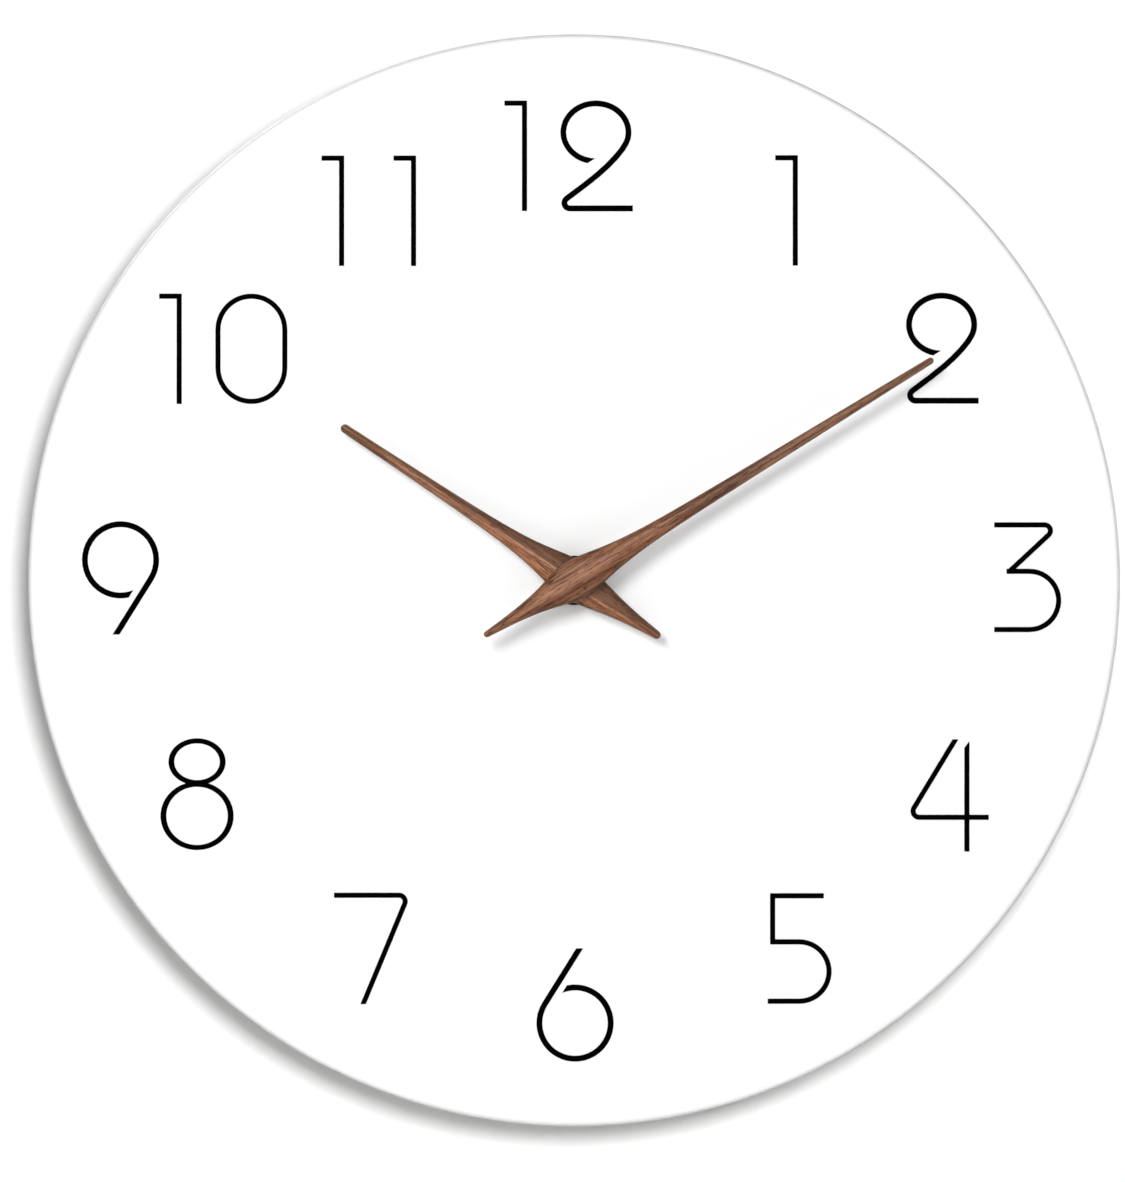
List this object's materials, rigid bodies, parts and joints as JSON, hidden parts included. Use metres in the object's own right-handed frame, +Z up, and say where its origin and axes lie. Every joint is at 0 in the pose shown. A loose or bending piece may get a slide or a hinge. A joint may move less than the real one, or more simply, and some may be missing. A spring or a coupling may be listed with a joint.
{
  "type": "wall clock",
  "caption": "Frameless round wall clock: white dial board with thin printed numerals, carved walnut hands and a battery quartz movement behind it.",
  "frame": {"origin": "centre of the round entry of the keyhole in the movement's hanging tab, on the plane of the wall", "axes": "+Y into the wall, the dial faces -Y, +Z up, +X to the right seen from the front"},
  "size_m": [0.3, 0.034, 0.3],
  "materials": {
    "board_white": "satin white lacquer on fibreboard",
    "ink_black": "flat printed ink",
    "black_rubber": "matte",
    "black_metal": "satin black",
    "brass": "machined",
    "case_plastic": "fine moulded texture",
    "circuit_laminate": "solder mask",
    "chip_resin": "glossy resin",
    "tin_plate": "bright plated",
    "soft_iron": "dull",
    "white_plastic": "natural acetal",
    "copper_wire": "enamelled copper wire",
    "cell_wrapper": "printed film, no lettering",
    "magnet": "sintered",
    "knob_plastic": "moulded",
    "walnut": "oiled walnut, open grain"
  },
  "bodies": {
    "clock": {"dial_board": "board_white", "dial_numerals": "ink_black", "rubber_washer": "black_rubber", "dress_washer": "black_metal", "hex_nut": "brass", "threaded_bushing": "brass", "movement_front_case": "case_plastic", "movement_rear_case": "case_plastic", "circuit_board": "circuit_laminate", "chip_cover": "chip_resin", "quartz_crystal": "tin_plate", "stator": "soft_iron", "coil_core": "soft_iron", "stator_screws": "tin_plate", "coil_bobbin": "white_plastic", "coil_winding": "copper_wire", "coil_terminals": "tin_plate", "positive_contact": "tin_plate", "negative_contact": "tin_plate"},
    "minute_works": {"minute_hand": "walnut", "minute_hand_bush": "brass", "minute_arbor": "tin_plate", "centre_wheel": "white_plastic", "clutch_spring": "brass"},
    "hour_works": {"hour_hand": "walnut", "hour_hand_bush": "brass", "hour_wheel": "white_plastic"},
    "motion_works": {"motion_wheel": "white_plastic"},
    "setting_works": {"setting_knob": "knob_plastic"},
    "third_works": {"third_wheel": "white_plastic"},
    "second_works": {"second_wheel": "white_plastic"},
    "middle_works": {"middle_wheel": "white_plastic"},
    "rotor_works": {"rotor_pinion": "white_plastic", "rotor_magnet": "magnet"},
    "battery": {"battery_can": "tin_plate", "battery_sleeve": "cell_wrapper", "battery_button": "tin_plate"}
  },
  "joints": [
    {"name": "minute_hand_turn", "type": "hinge", "parent": "clock", "child": "minute_works", "pos_m": [0, -0.012, -0.034], "axis": [0, 1, 0], "continuous": true},
    {"name": "hour_hand_turn", "type": "hinge", "parent": "clock", "child": "hour_works", "pos_m": [0, -0.012, -0.034], "axis": [0, 1, 0], "continuous": true},
    {"name": "motion_wheel_turn", "type": "hinge", "parent": "clock", "child": "motion_works", "pos_m": [0.0094, -0.012, -0.03058], "axis": [0, 1, 0], "continuous": true},
    {"name": "setting_knob_turn", "type": "hinge", "parent": "clock", "child": "setting_works", "pos_m": [0.01706, -0.012, -0.03701], "axis": [0, 1, 0], "continuous": true},
    {"name": "third_wheel_turn", "type": "hinge", "parent": "clock", "child": "third_works", "pos_m": [-0.00935, -0.012, -0.0286], "axis": [0, 1, 0], "continuous": true},
    {"name": "second_wheel_turn", "type": "hinge", "parent": "clock", "child": "second_works", "pos_m": [-0.00425, -0.012, -0.01977], "axis": [0, 1, 0], "continuous": true},
    {"name": "middle_wheel_turn", "type": "hinge", "parent": "clock", "child": "middle_works", "pos_m": [0.00625, -0.012, -0.01977], "axis": [0, 1, 0], "continuous": true},
    {"name": "rotor_turn", "type": "hinge", "parent": "clock", "child": "rotor_works", "pos_m": [0.01511, -0.012, -0.02133], "axis": [0, 1, 0], "continuous": true},
    {"name": "battery_lift", "type": "slide", "parent": "clock", "child": "battery", "axis": [0, 1, 0], "range_m": [0, 0.025]}
  ],
  "couplings": [
    {"joint": "hour_hand_turn", "follows": "minute_hand_turn", "ratio": 0.083333},
    {"joint": "motion_wheel_turn", "follows": "minute_hand_turn", "ratio": -0.33333},
    {"joint": "setting_knob_turn", "follows": "minute_hand_turn", "ratio": 1},
    {"joint": "third_wheel_turn", "follows": "minute_hand_turn", "ratio": -8},
    {"joint": "second_wheel_turn", "follows": "minute_hand_turn", "ratio": 60},
    {"joint": "middle_wheel_turn", "follows": "minute_hand_turn", "ratio": -360},
    {"joint": "rotor_turn", "follows": "minute_hand_turn", "ratio": 1800}
  ]
}
